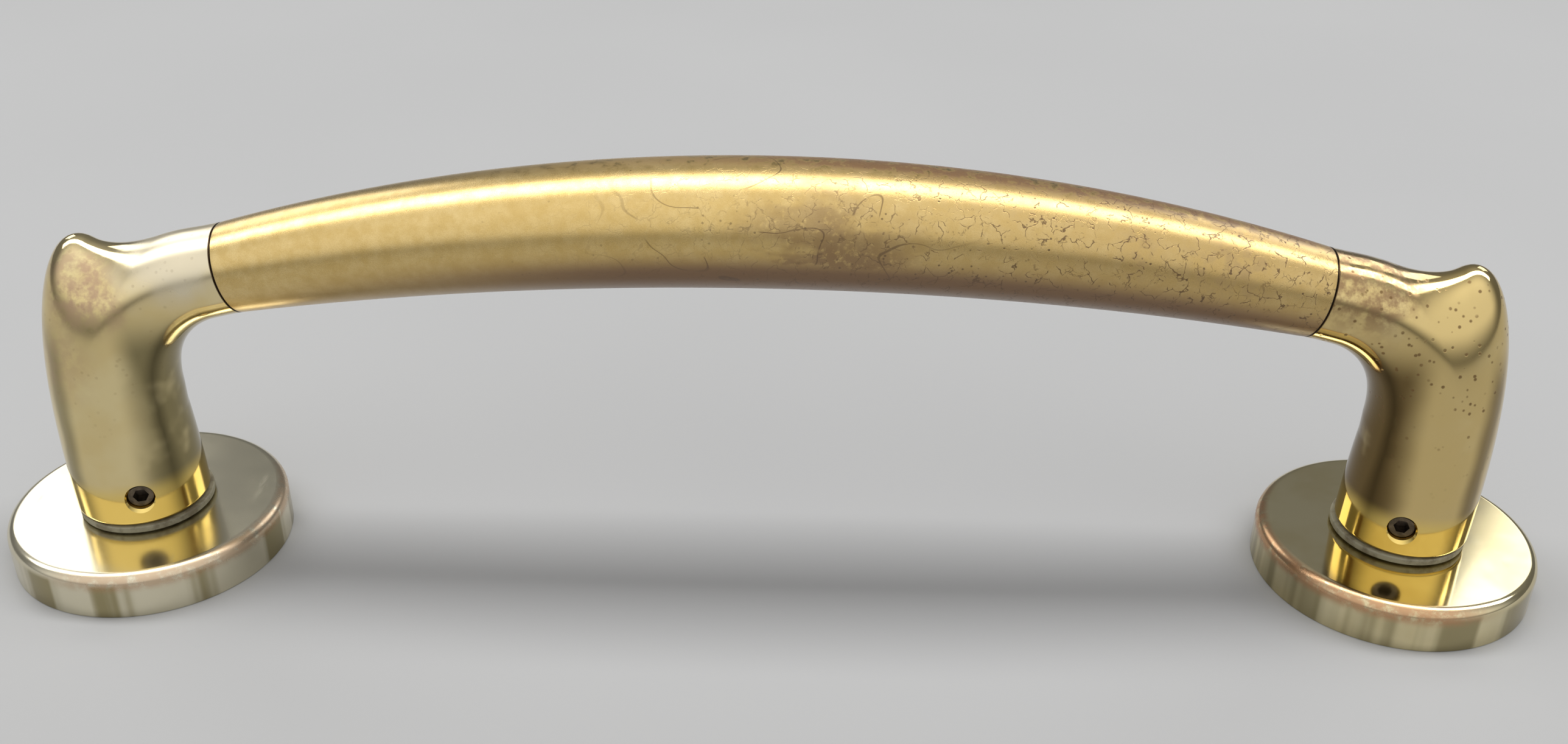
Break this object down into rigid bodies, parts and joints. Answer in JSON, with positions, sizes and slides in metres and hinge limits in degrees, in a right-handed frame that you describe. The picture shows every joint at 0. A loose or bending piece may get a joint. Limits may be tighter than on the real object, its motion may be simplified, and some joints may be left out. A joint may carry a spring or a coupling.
{
  "type": "door pull handle",
  "caption": "Bowed round door pull handle in brass: a satin tapered grip between polished posts clamped by side set screws on round roses.",
  "frame": {"origin": "midway between the two roses, on the door face (the plane of both roses' backs)", "axes": "+X along the grip, +Z out of the door towards the hand, +Y across the handle"},
  "size_m": [0.2954, 0.052, 0.0826],
  "materials": {
    "satin_brass": "satin brushed, worn",
    "polished_brass": "mirror polished, lightly worn",
    "turned_brass": "as turned",
    "screw_steel": "blackened steel",
    "fitting_steel": "zinc plated steel",
    "spring_steel": "spring steel",
    "base_zinc": "zinc plated steel plate",
    "nylon": "nylon"
  },
  "bodies": {
    "handle": {"grip_tube": "satin_brass", "post_left": "polished_brass", "joining_stud_left": "fitting_steel", "grip_end_plug_left": "turned_brass", "collar_bush_left": "nylon", "rose_base_left": "base_zinc", "cap_snap_ring_left": "spring_steel", "spigot_left": "fitting_steel", "spigot_clip_left": "spring_steel", "post_right": "polished_brass", "joining_stud_right": "fitting_steel", "grip_end_plug_right": "turned_brass", "collar_bush_right": "nylon", "rose_base_right": "base_zinc", "cap_snap_ring_right": "spring_steel", "spigot_right": "fitting_steel", "spigot_clip_right": "spring_steel"},
    "set_screw_left": {"set_screw_left": "screw_steel"},
    "rose_cap_left": {"rose_cap_left": "polished_brass"},
    "set_screw_right": {"set_screw_right": "screw_steel"},
    "rose_cap_right": {"rose_cap_right": "polished_brass"}
  },
  "joints": [
    {"name": "set_screw_left_travel", "type": "slide", "parent": "handle", "child": "set_screw_left", "axis": [0.342, -0.9397, 0], "range_m": [0, 0.004]},
    {"name": "rose_cap_left_spin", "type": "hinge", "parent": "handle", "child": "rose_cap_left", "pos_m": [-0.1217, 0, 0.0026], "axis": [0, 0, 1], "continuous": true},
    {"name": "set_screw_right_travel", "type": "slide", "parent": "handle", "child": "set_screw_right", "axis": [-0.342, -0.9397, 0], "range_m": [0, 0.004]},
    {"name": "rose_cap_right_spin", "type": "hinge", "parent": "handle", "child": "rose_cap_right", "pos_m": [0.1217, 0, 0.0026], "axis": [0, 0, 1], "continuous": true}
  ]
}
